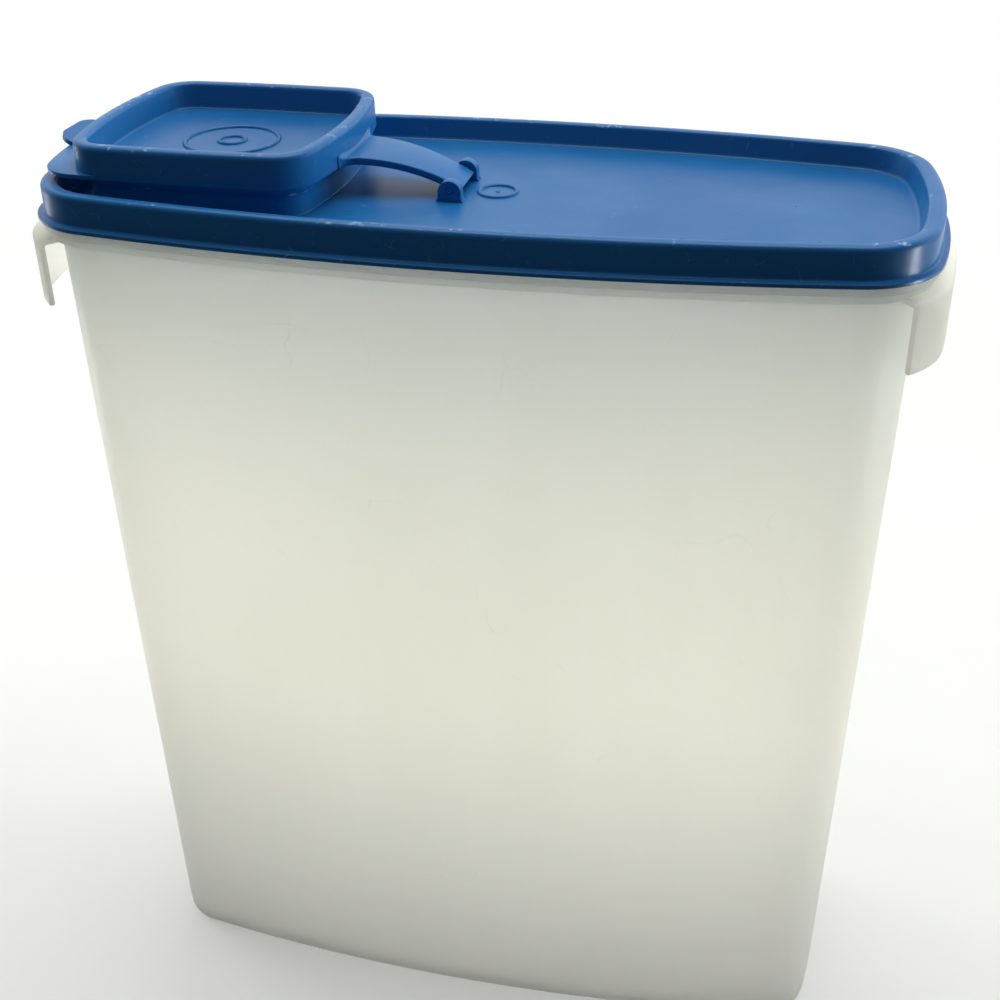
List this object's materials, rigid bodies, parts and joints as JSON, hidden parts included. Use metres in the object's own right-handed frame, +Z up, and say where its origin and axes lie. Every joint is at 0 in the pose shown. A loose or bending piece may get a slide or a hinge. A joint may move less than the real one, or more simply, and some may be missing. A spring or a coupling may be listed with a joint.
{
  "type": "dry food keeper with flip spout",
  "caption": "Tall narrow dry-food keeper with a translucent tub, a push-on recessed lid, a pour neck and a hinged flip cap with lift tab.",
  "frame": {"origin": "centre of the tub's base, on the foot ring's lower face", "axes": "+Z up; the length runs along X with the pour end at -X; +Y away from the viewer of the front"},
  "size_m": [0.2404, 0.1, 0.272],
  "materials": {
    "translucent_plastic": "natural unpigmented polyethylene, milky and translucent, with a soft sheen",
    "blue_plastic": "medium blue injection-moulded polyethylene with a waxy sheen and fine scratches"
  },
  "bodies": {
    "tub": {"tub": "translucent_plastic"},
    "lid": {"lid": "blue_plastic"},
    "flip_cap": {"flip_cap": "blue_plastic"}
  },
  "joints": [
    {"name": "lid_lift", "type": "slide", "parent": "tub", "child": "lid", "axis": [0, 0, 1], "range_m": [0, 0.04]},
    {"name": "cap_hinge", "type": "hinge", "parent": "lid", "child": "flip_cap", "pos_m": [-0.0076, 0, 0.2581], "axis": [0, 1, 0], "range_deg": [0, 150]}
  ]
}
